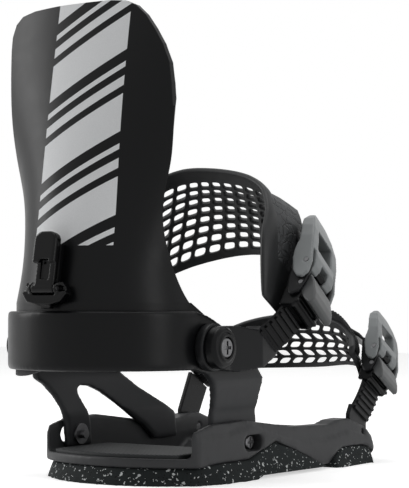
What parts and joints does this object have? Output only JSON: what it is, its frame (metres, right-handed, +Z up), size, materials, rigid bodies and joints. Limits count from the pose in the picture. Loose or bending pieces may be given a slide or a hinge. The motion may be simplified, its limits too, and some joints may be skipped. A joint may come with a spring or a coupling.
{
  "type": "snowboard strap binding",
  "caption": "Right-foot snowboard strap binding with a folding highback, a heel hoop, buckled ankle and toe straps, foam underpads and a turning mounting disc.",
  "frame": {"origin": "centre of the mounting disc, on the plane of the board's top face", "axes": "+X to the outer side of the foot (buckle side), +Y from heel to toe, +Z up from the board"},
  "size_m": [0.2016, 0.3321, 0.306],
  "materials": {
    "shell_black": "satin moulded plastic",
    "base_black": "fine-grained glass-filled nylon",
    "charcoal": "satin nylon",
    "ladder_black": "satin moulded nylon",
    "pad_black": "soft moulded urethane",
    "lever_grey": "grey satin paint",
    "eva": "dark foam with pale flecks",
    "screw": "blackened steel",
    "steel": "plain steel",
    "lever_black": "glossy black",
    "lining": "foam-backed cloth"
  },
  "bodies": {
    "base": {"baseplate": "base_black", "heel_underpad": "eva", "forefoot_underpad": "eva", "heel_footbed": "pad_black", "toe_ramp_screws": "screw", "toe_pins": "steel", "toe_right_ladder": "ladder_black", "toe_left_ladder": "ladder_black", "toe_hinge_pin": "steel"},
    "disc": {"mounting_disc": "base_black"},
    "ramp": {"toe_ramp": "base_black", "toe_footbed": "pad_black"},
    "cup": {"heelcup": "charcoal", "heelcup_liner": "pad_black", "heelcup_screws": "screw", "heelcup_nuts": "screw", "pivot_bolts": "screw", "pivot_nuts": "screw", "pivot_caps": "charcoal"},
    "back": {"highback": "shell_black", "highback_lining": "lining", "lean_rack": "base_black"},
    "lean_slider": {"lean_block": "lever_black", "lean_pin": "steel"},
    "lean_flip": {"lean_lever": "lever_black"},
    "ankle_loop": {"ankle_ladder": "ladder_black", "ankle_right_connector": "charcoal", "ankle_left_connector": "charcoal", "ankle_hinge_pin": "steel"},
    "ankle_strap": {"ankle_pad": "pad_black", "ankle_panel": "charcoal", "ankle_end_clip": "charcoal", "ankle_tab": "ladder_black", "ankle_buckle_base": "charcoal", "ankle_buckle_pins": "steel", "ankle_release_spring": "steel"},
    "ankle_handle": {"ankle_lever": "lever_grey", "ankle_pawl": "steel"},
    "ankle_release": {"ankle_release_lever": "lever_grey"},
    "toe_strap": {"toe_pad": "pad_black", "toe_top_strap": "ladder_black", "toe_end_clip": "charcoal", "toe_tab": "ladder_black", "toe_buckle_base": "charcoal", "toe_buckle_pins": "steel", "toe_release_spring": "steel"},
    "toe_handle": {"toe_lever": "lever_grey", "toe_pawl": "steel"},
    "toe_release": {"toe_release_lever": "lever_grey"}
  },
  "joints": [
    {"name": "stance_angle", "type": "hinge", "parent": "base", "child": "disc", "pos_m": [0, 0, 0.006], "axis": [0, 0, 1], "continuous": true},
    {"name": "toe_ramp_slide", "type": "slide", "parent": "base", "child": "ramp", "axis": [0, 1, 0], "range_m": [-0.004, 0.004]},
    {"name": "heelcup_slide", "type": "slide", "parent": "base", "child": "cup", "axis": [0, 1, 0], "range_m": [-0.008, 0.002]},
    {"name": "highback_fold", "type": "hinge", "parent": "cup", "child": "back", "pos_m": [0, -0.106, 0.087], "axis": [-1, 0, 0], "range_deg": [0, 32]},
    {"name": "lean_adjust", "type": "slide", "parent": "back", "child": "lean_slider", "axis": [0, 0.1736, 0.9848], "range_m": [0, 0.014]},
    {"name": "lean_lever_turn", "type": "hinge", "parent": "lean_slider", "child": "lean_flip", "pos_m": [0, -0.18613, 0.12353], "axis": [1, 0, 0], "range_deg": [0, 100]},
    {"name": "ankle_strap_swing", "type": "hinge", "parent": "cup", "child": "ankle_loop", "pos_m": [0, -0.106, 0.087], "axis": [1, 0, 0], "range_deg": [-8, 8]},
    {"name": "ankle_strap_open", "type": "hinge", "parent": "ankle_loop", "child": "ankle_strap", "pos_m": [-0.064, -0.03221, 0.12015], "axis": [0, -0.8039, 0.5948], "range_deg": [0, 62]},
    {"name": "ankle_lever_turn", "type": "hinge", "parent": "ankle_strap", "child": "ankle_handle", "pos_m": [0.099, -0.02329, 0.13221], "axis": [0, 0.8039, -0.5948], "range_deg": [0, 80]},
    {"name": "ankle_release_turn", "type": "hinge", "parent": "ankle_strap", "child": "ankle_release", "pos_m": [0.099, -0.0328, 0.11935], "axis": [0, -0.8039, 0.5948], "range_deg": [0, 18], "stiffness_Nm_per_rad": 0.2, "springref_deg": -17.19},
    {"name": "toe_strap_open", "type": "hinge", "parent": "base", "child": "toe_strap", "pos_m": [-0.0645, 0.08505, 0.06115], "axis": [0, -0.866, 0.5], "range_deg": [0, 95]},
    {"name": "toe_lever_turn", "type": "hinge", "parent": "toe_strap", "child": "toe_handle", "pos_m": [0.0769, 0.1152, 0.07538], "axis": [0, 0.866, -0.5], "range_deg": [0, 80]},
    {"name": "toe_release_turn", "type": "hinge", "parent": "toe_strap", "child": "toe_release", "pos_m": [0.0769, 0.10912, 0.06485], "axis": [0, -0.866, 0.5], "range_deg": [0, 18], "stiffness_Nm_per_rad": 0.15, "springref_deg": -17.19}
  ]
}
